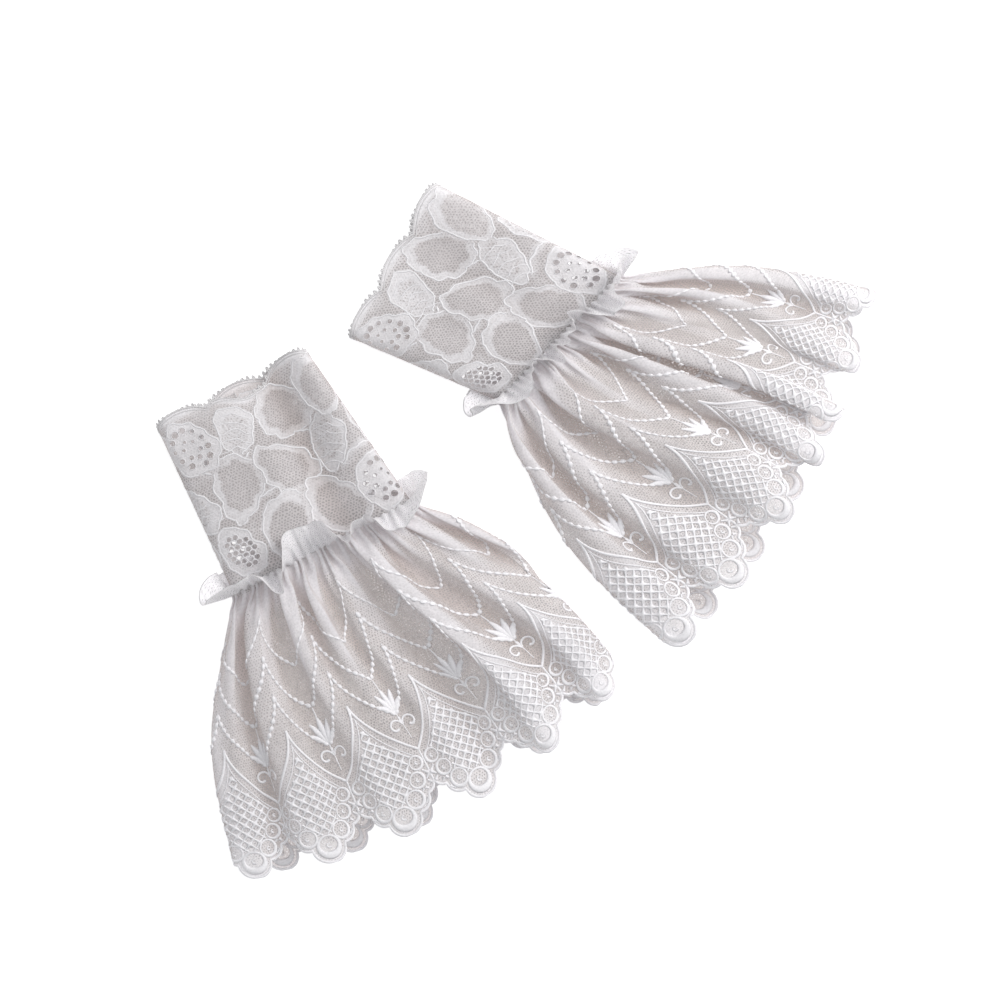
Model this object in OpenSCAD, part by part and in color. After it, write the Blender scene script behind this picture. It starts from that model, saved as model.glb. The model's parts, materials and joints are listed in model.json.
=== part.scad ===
// A pair of lace wrist cuffs with gathered, scalloped tulle flounces, lying flat side by side.
// Each cuff is a flattened stretch-lace tube whose lower edge is gathered to a wide flounce.
// Millimetres, +Z up. The origin is the centre of the pair's footprint, on the surface it lies on.

/* [Wrist band] */
// Length of a band from its gathered seam to its picot points
band_length = 80; // [60:1:110]
// Height that a band keeps lying flat, its two layers and the air between them
band_thick = 13; // [10:0.5:20]
// Thickness of a band's lace
band_wall = 1; // [0.6:0.1:1.5]
// Number of picot scallops round a band
picot_count = 6; // [4:1:9]
// Depth of a picot scallop
picot_depth = 3; // [2:0.5:6]
// Width of the picot edging along the scallops
picot_w = 2; // [1:0.5:4]

/* [Joining seam] */
// Width of the elastic inside the seam
elastic_w = 3; // [2:0.5:6]
// Thickness of the elastic
elastic_thick = 0.8; // [0.5:0.1:1.2]
// Number of gathering stitches in a row round a cuff
stitch_count = 32; // [16:2:48]
// Length of one gathering stitch
stitch_length = 2.4; // [1.5:0.1:3]
// Diameter of the gathering thread
stitch_thick = 0.5; // [0.3:0.05:0.8]
// Width of the frill that heads the gathers and lies back over the band
frill_w = 9; // [5:0.5:14]
// How far the frill's free edge stands off the band
frill_flare = 3.5; // [1:0.5:6]
// Number of waves round a frill
frill_waves = 14; // [8:1:24]
// Thickness of the doubled tulle of a frill
frill_wall = 0.8; // [0.5:0.1:1.2]

/* [Flounce] */
// Length of a flounce at its sides, from the seam to the scallop tips
flounce_length = 103; // [70:1:140]
// Height that a flounce keeps lying flat, without its folds
flounce_thick = 17; // [14:0.5:26]
// Thickness of a flounce's tulle with its embroidery
flounce_wall = 1; // [0.6:0.1:1.5]
// How far the sides of a flounce swell past straight lines
flounce_bulge = 10; // [0:0.5:16]
// Number of scallops round a hem
scallop_count = 12; // [8:1:16]
// Depth of a hem scallop
scallop_depth = 13; // [6:0.5:18]
// Number of folds round a flounce
fold_count = 10; // [6:1:16]
// Height of the folds in the upper layer
fold_height = 5; // [2:0.5:8]
// Width of the satin-stitched edging along the scallops
edging_w = 3; // [2:0.5:5]
// How much thicker the edging is than the tulle
edging_proud = 0.4; // [0.2:0.1:0.8]

/* [Side seams] */
// Width of the overlocked seam that closes each tube
side_seam_w = 3; // [2:0.5:5]
// Thickness of that seam
side_seam_thick = 0.8; // [0.5:0.1:1.2]

/* [Left cuff] */
// Place of the left cuff's seam across the pair
left_x = -74.3; // [-100:0.1:-60]
// Place of the left cuff's seam along the pair
left_y = -4.8; // [-30:0.1:20]
// Direction in which the left flounce points, in degrees from +X
left_turn = -62.3; // [-80:0.1:-50]
// Flat width of the left band at its picot edge
left_picot_flat = 69; // [55:1:90]
// Flat width of the left band at its seam
left_seam_flat = 83; // [60:1:100]
// Width over the left hem
left_hem_flat = 183; // [140:1:220]
// How far the middle of the left hem lies beyond its sides
left_hem_bow = 17; // [0:1:30]
// Slant of the left seam, in degrees
left_slant = 0; // [-20:0.5:20]
// Sideways shift of the left cuff's two free edges
left_shift = -3; // [-10:0.5:10]

/* [Right cuff] */
// Place of the right cuff's seam across the pair
right_x = 24.3; // [0:0.1:60]
// Place of the right cuff's seam along the pair
right_y = 82.2; // [60:0.1:110]
// Direction in which the right flounce points, in degrees from +X
right_turn = -28.8; // [-45:0.1:-15]
// Flat width of the right band at its picot edge
right_picot_flat = 73; // [55:1:90]
// Flat width of the right band at its seam
right_seam_flat = 69; // [60:1:100]
// Width over the right hem
right_hem_flat = 170; // [140:1:220]
// How far the middle of the right hem lies beyond its sides
right_hem_bow = 14; // [0:1:30]
// Slant of the right seam, in degrees
right_slant = 15.5; // [-20:0.5:20]
// Sideways shift of the right cuff's two free edges
right_shift = -5; // [-10:0.5:10]

/* [Hidden] */

lace_colour = "whitesmoke";
thread_colour = "white";
tulle_colour = "ghostwhite";
elastic_colour = "gainsboro";

fit_gap = 0.1;              // between two pieces of one cuff
seam_gap = 0.6;             // between the band's end and the flounce
stitch_inset = 1.4;         // stitch line, from the band's end
elastic_inset = 1.2;        // elastic, from the band's end
frill_inset = stitch_inset + stitch_thick + fit_gap;
frill_rest = frill_wall + fit_gap + 0.3;   // how far the seam end rides up on its frill
puff_length = 35;           // over which the flounce fills out from the seam
under_fold = 0.4;           // folds of the lower layer, as a share of those above
seam_side = 0.76;           // where the side seams run: under the cuff
round_pts = 6;              // ring points to one scallop of a hem
band_pts = 12;              // ring points to one picot scallop

cuff_keys = ["x", "y", "turn", "picot", "seam", "hem", "bow", "slant", "shift"];
left = [left_x, left_y, left_turn, left_picot_flat, left_seam_flat, left_hem_flat,
        left_hem_bow, left_slant, left_shift];
right = [right_x, right_y, right_turn, right_picot_flat, right_seam_flat, right_hem_flat,
         right_hem_bow, right_slant, right_shift];
function of_cuff(cuff, key) = cuff[search([key], cuff_keys)[0]];

function mix(a, b, f) = a + (b - a) * f;
function clamp01(x) = min(1, max(0, x));
function ease(x) = let (c = clamp01(x)) c * c * (3 - 2 * c);

// A flattened tube's section, half width a and half thickness b, s of the way round from its low-v side,
// over the top first: [v, z above the middle, normal v, normal z]
function section(s, a, b) = let (
    flat = 2 * (a - b), quarter = PI * b / 2, d = s * (2 * flat + 4 * quarter),
    on_arc = function (turn, side) [side * flat / 2 + b * cos(turn), b * sin(turn), cos(turn), sin(turn)])
    d < quarter ? on_arc(180 - 90 * d / quarter, -1)
    : d < quarter + flat ? [d - quarter - flat / 2, b, 0, 1]
    : d < 3 * quarter + flat ? on_arc(90 - 90 * (d - quarter - flat) / quarter, 1)
    : d < 3 * quarter + 2 * flat ? [flat / 2 - (d - 3 * quarter - flat), -b, 0, -1]
    : on_arc(-90 - 90 * (d - 3 * quarter - 2 * flat) / quarter, -1);

// Cuff coordinates u (towards the hem), v (across) and z, placed on the surface
function placed(cuff, u, v, z) = let (t = of_cuff(cuff, "turn"))
    [of_cuff(cuff, "x") + u * cos(t) - v * sin(t), of_cuff(cuff, "y") + u * sin(t) + v * cos(t), z];

// How deep a scalloped edge is cut back at s, from 0 at a tip to 1 at a notch
function cut_back(s, count) = 1 - abs(sin(180 * count * s));

// A point of the band: f from 0 at the picot edge to 1 at the seam, s of the way round, off the outer face
function band_point(cuff, f, s, off) = let (
    a = mix(of_cuff(cuff, "picot"), of_cuff(cuff, "seam"), f) / 2,
    p = section(s, a, band_thick / 2),
    v = p[0] + off * p[2],
    lift = frill_rest * ease((f - 0.6) / 0.25),
    u = -band_length * (1 - f) + p[0] * tan(of_cuff(cuff, "slant")) * f
        + picot_depth * cut_back(s, picot_count) * pow(1 - f, 4))
    placed(cuff, u, v + of_cuff(cuff, "shift") * (1 - f), p[1] + off * p[3] + band_thick / 2 + lift);

// The fold's rise at s of the way round, up in the upper layer and less in the lower one
function fold(s, t) = let (wave = (1 - cos(360 * fold_count * s)) / 2, grown = ease(t * 1.6))
    fold_height * grown * wave * (s < 0.5 ? 1 : under_fold) * clamp01(8 * min(abs(s - 0.5), s, 1 - s));

// A point of the flounce: t from 0 at the seam to 1 at the hem
function flounce_point(cuff, t, s, off) = let (
    a = mix(of_cuff(cuff, "seam"), of_cuff(cuff, "hem"), t) / 2 + flounce_bulge * sin(180 * pow(t, 0.85)),
    b = mix(band_thick, flounce_thick, ease(t * flounce_length / puff_length)) / 2,
    p = section(s, a, b),
    across = p[0] / a,
    u = seam_gap + (flounce_length - seam_gap) * t + of_cuff(cuff, "bow") * t * (1 - across * across)
        + p[0] * tan(of_cuff(cuff, "slant")) * (1 - t)
        - scallop_depth * cut_back(s, scallop_count) * pow(t, 6))
    placed(cuff, u, p[0] + off * p[2] + of_cuff(cuff, "shift") * t, max(0, p[1] + off * p[3] + b + fold(s, t)));

// Centre of the pair's footprint, from the two hems and the two picot edges
edge_points = [for (cuff = [left, right], i = [0:4 * scallop_count * round_pts - 1])
    let (s = i / (4 * scallop_count * round_pts))
    each [flounce_point(cuff, 1, s, edging_proud), band_point(cuff, 0, s, 0)]];
low = [for (k = [0:1]) min([for (p = edge_points) p[k]])];
high = [for (k = [0:1]) max([for (p = edge_points) p[k]])];
centre = [(low[0] + high[0]) / 2, (low[1] + high[1]) / 2, 0];

// Two faces over each cell of a grid of points, numbered from start
function grid_faces(rows, n, start, flip, closed) = [
    for (i = [0:rows - 2], j = [0:n - (closed ? 1 : 2)])
    let (k = (j + 1) % n, a = start + i * n + j, b = start + i * n + k, c = a + n, d = b + n)
    each flip ? [[a, b, c], [b, d, c]] : [[a, c, b], [b, c, d]]];

// The wall between two grids of points; closed if the rows run right round
module wall(outer, inner, closed = true) {
    rows = len(outer);
    n = len(outer[0]);
    m = rows * n;
    rims = [for (i = [0, rows - 1], j = [0:n - (closed ? 1 : 2)])
        let (k = (j + 1) % n, a = i * n + j, b = i * n + k, c = a + m, d = b + m)
        each (i == 0) ? [[a, b, c], [b, d, c]] : [[a, c, b], [b, c, d]]];
    sides = closed ? [] : [for (j = [0, n - 1], i = [0:rows - 2])
        let (a = i * n + j, b = a + n, c = a + m, d = b + m)
        each (j == 0) ? [[a, c, b], [b, c, d]] : [[a, b, c], [b, d, c]]];
    translate(-centre)
    polyhedron(concat([for (r = outer) each r], [for (r = inner) each r]),
        concat(grid_faces(rows, n, 0, false, closed), grid_faces(rows, n, m, true, closed), rims, sides),
        convexity = 8);
}

// Shares of the way round, from one share to another, in n steps
function shares(from, to, n) = [for (i = [0:n]) mix(from, to, i / n)];
function all_round(n) = [for (i = [0:n - 1]) i / n];

band_round = all_round(picot_count * band_pts);
hem_round = all_round(scallop_count * round_pts);
function band_share(distance) = 1 - distance / band_length;      // from a distance to the seam
function flounce_share(distance) = 1 - distance / flounce_length; // from a distance to the hem

band_rows = shares(picot_w / band_length, 1, 6);

module wrist_band(cuff) {
    color(lace_colour)
    wall([for (f = band_rows) [for (s = band_round) band_point(cuff, f, s, 0)]],
         [for (f = band_rows) [for (s = band_round) band_point(cuff, f, s, -band_wall)]]);
}

module picot_edging(cuff) {
    reach = shares(0, (picot_w - fit_gap) / band_length, 1);
    color(thread_colour)
    wall([for (f = reach) [for (s = band_round) band_point(cuff, f, s, 0)]],
         [for (f = reach) [for (s = band_round) band_point(cuff, f, s, -band_wall - fit_gap)]]);
}

// A strip along the inside of the band's lower layer
module band_side_seam(cuff) {
    half = side_seam_w / 4 / of_cuff(cuff, "seam");
    along = [0.06, each [for (i = [1:5]) band_rows[i]], band_share(elastic_inset + elastic_w + 1)];
    sides = shares(seam_side - half, seam_side + half, 2);
    inside = -band_wall - fit_gap;
    color(thread_colour)
    wall([for (f = along) [for (s = sides) band_point(cuff, f, s, inside)]],
         [for (f = along) [for (s = sides) band_point(cuff, f, s, inside - side_seam_thick)]], closed = false);
}

module joining_elastic(cuff) {
    along = shares(band_share(elastic_inset + elastic_w), band_share(elastic_inset), 1);
    inside = -band_wall - fit_gap;
    color(elastic_colour)
    wall([for (f = along) [for (s = band_round) band_point(cuff, f, s, inside)]],
         [for (f = along) [for (s = band_round) band_point(cuff, f, s, inside - elastic_thick)]]);
}

module gathering_stitches(cuff) {
    half = stitch_length / 4 / of_cuff(cuff, "seam");
    along = shares(band_share(stitch_inset + stitch_thick), band_share(stitch_inset), 1);
    color(thread_colour)
    for (i = [0:stitch_count - 1]) {
        sides = shares((i + 0.5) / stitch_count - half, (i + 0.5) / stitch_count + half, 2);
        wall([for (f = along) [for (s = sides) band_point(cuff, f, s, fit_gap + stitch_thick)]],
             [for (f = along) [for (s = sides) band_point(cuff, f, s, fit_gap)]], closed = false);
    }
}

// The frill lies back over the band's end and ripples; its lowest stretch is pressed to the surface
module heading_frill(cuff) {
    along = shares(band_share(frill_inset), band_share(frill_inset + frill_w), 3);
    around = all_round(frill_waves * 6);
    function ripple(f, s) = let (x = (band_share(frill_inset) - f) * band_length / frill_w)
        fit_gap + frill_flare * x * (0.65 + 0.35 * cos(360 * frill_waves * s));
    function pressed(p, floor_z) = [p[0], p[1], max(floor_z, p[2])];
    color(tulle_colour)
    wall([for (f = along) [for (s = around) pressed(band_point(cuff, f, s, ripple(f, s)), frill_wall)]],
         [for (f = along) [for (s = around) pressed(band_point(cuff, f, s, ripple(f, s) + frill_wall), 0)]]);
}

module flounce(cuff) {
    along = shares(0, flounce_share(edging_w), 8);
    color(tulle_colour)
    wall([for (t = along) [for (s = hem_round) flounce_point(cuff, t, s, 0)]],
         [for (t = along) [for (s = hem_round) flounce_point(cuff, t, s, -flounce_wall)]]);
}

// A strip along the inside of the flounce's lower layer
module flounce_side_seam(cuff) {
    along = shares(0.04, flounce_share(edging_w) * 0.84, 8);
    inside = -flounce_wall - fit_gap;
    function across(t) = side_seam_w / 4 / mix(of_cuff(cuff, "seam"), of_cuff(cuff, "hem"), t);
    function sides(t) = shares(seam_side - across(t), seam_side + across(t), 1);
    color(thread_colour)
    wall([for (t = along) [for (s = sides(t)) flounce_point(cuff, t, s, inside)]],
         [for (t = along) [for (s = sides(t)) flounce_point(cuff, t, s, inside - side_seam_thick)]],
         closed = false);
}

module scallop_edging(cuff) {
    along = shares(flounce_share(edging_w - fit_gap), 1, 1);
    color(thread_colour)
    wall([for (t = along) [for (s = hem_round) flounce_point(cuff, t, s, edging_proud)]],
         [for (t = along) [for (s = hem_round) flounce_point(cuff, t, s, -flounce_wall)]]);
}

wrist_band(left);  // left_wrist_band
picot_edging(left);  // left_picot_edging
band_side_seam(left);  // left_band_side_seam
joining_elastic(left);  // left_joining_elastic
gathering_stitches(left);  // left_gathering_stitches
heading_frill(left);  // left_heading_frill
flounce(left);  // left_flounce
flounce_side_seam(left);  // left_flounce_side_seam
scallop_edging(left);  // left_scallop_edging
wrist_band(right);  // right_wrist_band
picot_edging(right);  // right_picot_edging
band_side_seam(right);  // right_band_side_seam
joining_elastic(right);  // right_joining_elastic
gathering_stitches(right);  // right_gathering_stitches
heading_frill(right);  // right_heading_frill
flounce(right);  // right_flounce
flounce_side_seam(right);  // right_flounce_side_seam
scallop_edging(right);  // right_scallop_edging
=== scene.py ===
"""A pair of lace wrist cuffs lying flat: stretch-lace bands gathered to embroidered tulle flounces.

Every cloth is first drawn flat, in millimetres, as a lace maker draws it: x runs round the cuff and y
from its upper edge to its lower one. A Drape then says where each point of the flat cut lies on the
cuff, in metres, and carries the cloth, its embroidery, its cords and its seams there together.
"""

import json
import logging
import math
from collections.abc import Callable, Iterable
from dataclasses import dataclass
from enum import Enum

import bmesh
import bpy
import numpy as np
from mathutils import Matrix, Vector


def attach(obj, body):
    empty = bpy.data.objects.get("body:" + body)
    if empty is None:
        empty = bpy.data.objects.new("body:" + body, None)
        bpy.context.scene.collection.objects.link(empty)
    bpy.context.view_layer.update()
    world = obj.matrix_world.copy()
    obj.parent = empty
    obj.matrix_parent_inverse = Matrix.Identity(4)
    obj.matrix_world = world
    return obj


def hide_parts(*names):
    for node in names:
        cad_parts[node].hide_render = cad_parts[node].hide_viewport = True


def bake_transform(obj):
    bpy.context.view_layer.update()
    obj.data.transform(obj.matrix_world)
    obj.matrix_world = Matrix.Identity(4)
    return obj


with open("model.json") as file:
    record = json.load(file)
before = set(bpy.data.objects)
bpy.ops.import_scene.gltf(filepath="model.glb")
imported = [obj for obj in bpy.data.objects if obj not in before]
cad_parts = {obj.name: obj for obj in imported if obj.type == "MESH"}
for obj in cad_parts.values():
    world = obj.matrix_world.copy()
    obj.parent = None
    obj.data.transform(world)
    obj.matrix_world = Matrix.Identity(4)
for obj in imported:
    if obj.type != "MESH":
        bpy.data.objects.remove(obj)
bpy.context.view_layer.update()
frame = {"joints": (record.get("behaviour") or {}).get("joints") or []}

LOG = logging.getLogger("lace_cuffs")
MM = 0.001
TAU = 2 * math.pi

Array = np.ndarray


class Side(Enum):
    """The two cuffs of the pair."""

    LEFT = "left"
    RIGHT = "right"


# --------------------------------------------------------------------------------------------
# Curves and shares
# --------------------------------------------------------------------------------------------


def ease(x: Array | float) -> Array | float:
    """Return a smooth step from 0 to 1 over x from 0 to 1."""
    c = np.clip(x, 0.0, 1.0)
    return c * c * (3 - 2 * c)


def mix(a: Array | float, b: Array | float, f: Array | float) -> Array | float:
    """Return the value that lies f of the way from a to b."""
    return a + (b - a) * f


def bump(x: Array | float, middle: float, half: float) -> Array | float:
    """Return a rounded hump of height 1 at middle that fades out over about half."""
    return np.exp(-(((x - middle) / half) ** 2))


# --------------------------------------------------------------------------------------------
# The lie of a cuff
# --------------------------------------------------------------------------------------------


@dataclass(frozen=True)
class Layout:
    """How one cuff lies on the surface. Lengths are in millimetres and angles in degrees."""

    side: Side
    turn: float
    picot_flat: float
    seam_flat: float
    hem_flat: float
    hem_bow: float
    slant: float
    shift: float
    tips: tuple[float, ...]
    dent: tuple[float, float, float]
    dip: tuple[float, float, float]
    flips: tuple[tuple[float, float, float, float], ...]
    ridges: tuple[tuple[float, float, float], ...]
    pattern_shift: float
    drift: float
    band_length: float = 80.0
    band_thick: float = 12.4
    flounce_length: float = 103.0
    flounce_bulge: float = 10.0

    @property
    def name(self) -> str:
        """Return the word that starts the names of this cuff's pieces."""
        return self.side.value

    @property
    def seam(self) -> Vector:
        """Return the middle of the gathered seam on the surface, in metres, from the frame's hinge."""
        hinge = next(j for j in frame["joints"] if j["name"] == f"{self.name}_flounce_turn_back")
        return Vector((hinge["pos_m"][0], hinge["pos_m"][1], 0.0))

    @property
    def hemward(self) -> Vector:
        """Return the level direction square to the gathered seam, towards the hem."""
        hinge = next(j for j in frame["joints"] if j["name"] == f"{self.name}_flounce_turn_back")
        return Vector(hinge["axis"]).cross(Vector((0, 0, -1))).normalized()

    def place(self, u: Array, v: Array, z: Array) -> Array:
        """Place cuff coordinates in the frame.

        Args:
            u: Distance from the seam towards the hem, in millimetres.
            v: Distance across the cuff, in millimetres.
            z: Height above the surface, in millimetres.

        Returns:
            The points in metres, with one more axis than u.
        """
        t = math.radians(self.turn)
        x = self.seam.x + (u * math.cos(t) - v * math.sin(t)) * MM
        y = self.seam.y + (u * math.sin(t) + v * math.cos(t)) * MM
        return np.stack([x, y, z * MM], axis=-1)


LEFT_CUFF = Layout(
    side=Side.LEFT, turn=-62.3, picot_flat=69.0, seam_flat=83.0, hem_flat=183.0, hem_bow=17.0,
    slant=0.0, shift=-3.0, dent=(0.35, 0.085, 9.5), dip=(0.275, 0.065, 8.0), pattern_shift=3.0, drift=0.0,
    ridges=((0.318, 0.034, 7.0), (0.265, 0.026, -6.5), (0.13, 0.03, 2.5), (0.42, 0.03, 2.5)),
    flips=((0.43, 0.05, 75.0, 3.0), (0.32, 0.03, 70.0, 3.0), (0.23, 0.03, -25.0, 1.0),
           (0.13, 0.04, 70.0, 2.0), (0.04, 0.03, 30.0, 2.0)),
    tips=(-86.0, -55.0, -22.0, 14.0, 46.0, 77.0),
)
RIGHT_CUFF = Layout(
    side=Side.RIGHT, turn=-28.8, picot_flat=73.0, seam_flat=69.0, hem_flat=170.0, hem_bow=14.0,
    slant=15.5, shift=-5.0, dent=(0.30, 0.09, 2.5), dip=(0.25, 0.1, 0.0), pattern_shift=0.0, drift=1.7,
    ridges=((0.19, 0.03, 4.0), (0.235, 0.022, -3.5), (0.36, 0.03, 4.0), (0.405, 0.02, -3.0)),
    flips=((0.39, 0.075, 95.0, 4.5), (0.27, 0.03, 45.0, 2.0), (0.19, 0.04, 75.0, 3.0),
           (0.08, 0.06, 90.0, 6.0)),
    tips=(-83.0, -51.0, -18.0, 9.0, 29.0, 49.0, 77.0),
)


# --------------------------------------------------------------------------------------------
# Drapes: where a flat cut lies
# --------------------------------------------------------------------------------------------


class Section:
    """The outline of a flattened tube, walked by its length from its low-v side over the top."""

    SAMPLES = 720

    def __init__(self, half_width: float, half_thick: float, power: float | None = None) -> None:
        """Measure the outline.

        Args:
            half_width: Half the tube's width, in millimetres.
            half_thick: Half its thickness, in millimetres.
            power: How square the outline is; 2 is an ellipse. Without it the sides are half rounds.
        """
        turn = np.linspace(math.pi, -math.pi, self.SAMPLES + 1)
        cos, sin = np.cos(turn), np.sin(turn)
        if power:
            self.v = half_width * np.sign(cos) * np.abs(cos) ** (2 / power)
            self.z = half_thick * np.sign(sin) * np.abs(sin) ** (2 / power)
        else:
            self.v = (half_width - half_thick) * np.tanh(6 * cos) / math.tanh(6) + half_thick * cos
            self.z = half_thick * sin
        step = np.hypot(np.diff(self.v), np.diff(self.z))
        self.walked = np.concatenate([[0.0], np.cumsum(step)])
        self.length = float(self.walked[-1])

    def at(self, walked: Array) -> tuple[Array, Array, Array, Array]:
        """Find points of the outline.

        Args:
            walked: Distances along the outline, in millimetres, which may run past its end.

        Returns:
            v, z, and the outward normal's v and z.
        """
        w = np.mod(walked, self.length)
        v, z = np.interp(w, self.walked, self.v), np.interp(w, self.walked, self.z)
        reach = self.length / 240
        ahead, behind = np.mod(walked + reach, self.length), np.mod(walked - reach, self.length)
        dv = np.interp(ahead, self.walked, self.v) - np.interp(behind, self.walked, self.v)
        dz = np.interp(ahead, self.walked, self.z) - np.interp(behind, self.walked, self.z)
        size = np.hypot(dv, dz) + 1e-9
        return v, z, -dz / size, dv / size


def smoothed(values: Array, keep: int) -> Array:
    """Return a closed row of values with only its slowest waves kept."""
    waves = np.fft.rfft(values)
    waves *= np.exp(-((np.arange(len(waves)) / keep) ** 4))
    return np.fft.irfft(waves, len(values))


def gathered_row(angles: Array, cloth: float, room: float,
                 spread: Array | None = None) -> tuple[Array, Array]:
    """Fold one row of cloth to and fro until it fits the room it is gathered into.

    Args:
        angles: The folds' relative slope at even steps round the closed row, about 1 at their steepest.
        cloth: The row's real length, in millimetres.
        room: The length that it has to fit, in millimetres.
        spread: Where each step should come, as a share of the room, if the row isn't evenly spread.

    Returns:
        How far along the room each step comes, and how far it stands off, both in millimetres.
    """
    n = len(angles)
    even = np.arange(n) / n
    away = smoothed(spread - even, 9) if spread is not None else np.zeros(n)
    fit = np.clip((1 + np.gradient(away) * n) * room / cloth, 0.05, 0.97)
    bend = np.linspace(0.0, 2.4, 60)
    kept = np.cos(bend[:, None] * np.sin(np.linspace(0, TAU, 65)[:-1])).mean(axis=1)
    slope = np.interp(-fit, -kept, bend) * angles
    low, high = 0.0, 2.0
    for _ in range(20):
        scale = (low + high) / 2
        mean = np.cos(np.clip(scale * slope, -2.6, 2.6)).mean()
        low, high = (scale, high) if mean > min(0.97, room / cloth) else (low, scale)
    slope = np.clip(low * slope, -2.6, 2.6)
    step = cloth / n
    along = np.cumsum(np.cos(slope)) * step
    place = (even + away) * room
    sway = along * (room / along[-1]) - place
    stands = np.cumsum(np.sin(slope)) * step
    stands = stands - np.linspace(0, stands[-1], n)
    return place + sway - smoothed(sway, 8), stands - smoothed(stands, 3)


class Drape:
    """Where every point of a flat cut of cloth lies on a cuff."""

    def __init__(self, table: Array, width: float, length: float) -> None:
        """Keep a table of places.

        Args:
            table: Points in metres, [steps round, steps down, 3]; the cut closes round the cuff.
            width: The cut's width round the cuff, in millimetres.
            length: The cut's length down the cuff, in millimetres.
        """
        self.width, self.length = width, length
        self.table = table
        across = np.roll(table, -1, axis=0) - np.roll(table, 1, axis=0)
        down = np.gradient(table, axis=1)
        normal = np.cross(down, across)
        self.normal = normal / (np.linalg.norm(normal, axis=-1, keepdims=True) + 1e-12)
        reach = max(2, round(9.0 / width * len(table)))
        around = sum(np.roll(table[..., 2], k, axis=0) for k in range(-reach, reach + 1)) / (2 * reach + 1)
        # Faces turned downwards are counted as lying 1 mm low, so that the finishes paint a little shade on
        # them.
        self.sunk = np.where(self.normal[..., 2] > -0.2, around - table[..., 2], 1.0 * MM)[..., None] / MM

    def _read(self, source: Array, x: Array, y: Array) -> Array:
        """Read a table between its points, going round at its ends."""
        nx, ny = source.shape[:2]
        i = np.mod(x / self.width, 1.0) * nx
        j = np.clip(y / self.length, 0.0, 1.0) * (ny - 1)
        i0, j0 = np.floor(i).astype(int) % nx, np.minimum(np.floor(j).astype(int), ny - 2)
        fi, fj = (i - np.floor(i))[..., None], (j - j0)[..., None]
        i1 = (i0 + 1) % nx
        near = source[i0, j0] * (1 - fj) + source[i0, j0 + 1] * fj
        far = source[i1, j0] * (1 - fj) + source[i1, j0 + 1] * fj
        return near * (1 - fi) + far * fi

    def lay(self, flat: Array) -> Array:
        """Carry flat points onto the cuff.

        Args:
            flat: Points as x, y and height off the cloth, in millimetres.

        Returns:
            The points in the frame, in metres.
        """
        at = self._read(self.table, flat[:, 0], flat[:, 1])
        normal = self._read(self.normal, flat[:, 0], flat[:, 1])
        normal = normal / (np.linalg.norm(normal, axis=-1, keepdims=True) + 1e-12)
        return at + normal * flat[:, 2:3] * MM

    def hollow(self, x: Array, y: Array) -> Array:
        """Return how far the cloth lies below its surroundings at flat points, in millimetres."""
        return self._read(self.sunk, x, y)[:, 0]

    def slant(self, x: Array, y: Array) -> Array:
        """Return how steeply the cloth stands at flat points, from 0 lying flat to 1 upright."""
        normal = self._read(self.normal, x, y)
        return 1 - np.abs(normal[:, 2]) / (np.linalg.norm(normal, axis=-1) + 1e-12)


def settled(z: Array, floor: float, softness: float) -> Array:
    """Return heights pressed softly onto a floor, so that layers stay apart where they lie on it."""
    return floor + softness * np.logaddexp(0.0, (z - floor) / softness)


@dataclass(frozen=True)
class BandDrape:
    """The lie of a wrist band. Lengths are in millimetres."""

    layout: Layout
    cut: float = 148.0
    steps: tuple[int, int] = (300, 90)

    def drape(self, off: float = 0.0, reach: float = 0.0) -> Drape:
        """Lay the band out.

        Args:
            off: How far outside the lace the cloth lies.
            reach: How far past the seam it goes on.

        Returns:
            The drape of a cut that starts at the picot tips.
        """
        lay = self.layout
        nx, ny = self.steps
        rows = np.empty((nx, ny, 3))
        share = np.arange(nx) / nx
        length = lay.band_length + reach
        for j, y in enumerate(np.linspace(0, length, ny)):
            f = y / lay.band_length
            a = mix(lay.picot_flat, lay.seam_flat, f) / 2 + off
            section = Section(a, lay.band_thick / 2 + off)
            v, z, _, _ = section.at(share * section.length)
            top = z > 0
            lift = ease((f - 0.6) / 0.25)
            z = z + lay.band_thick / 2
            z = np.where(top, z * (1 - 0.10 * math.sin(math.pi * f)), z)
            place, half, depth = lay.dent
            z = z - top * depth * (1 - 0.55 * f) * bump(share, place - 0.03 * f, half * (1 - 0.25 * f))
            ripple = 0.35 * np.sin(TAU * (share * 7 + 0.8 * f) + lay.drift) * np.sin(math.pi * f)
            z = z + top * ripple
            z = settled(z, 0.25, 0.25) + lift
            u = y - lay.band_length + v * math.tan(math.radians(lay.slant)) * f
            u = u + lay.dip[2] * bump(share, *lay.dip[:2]) * (1 - f) ** 3
            rows[:, j] = lay.place(u, v + lay.shift * (1 - f), z)
        return Drape(rows, self.cut, length)


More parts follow.
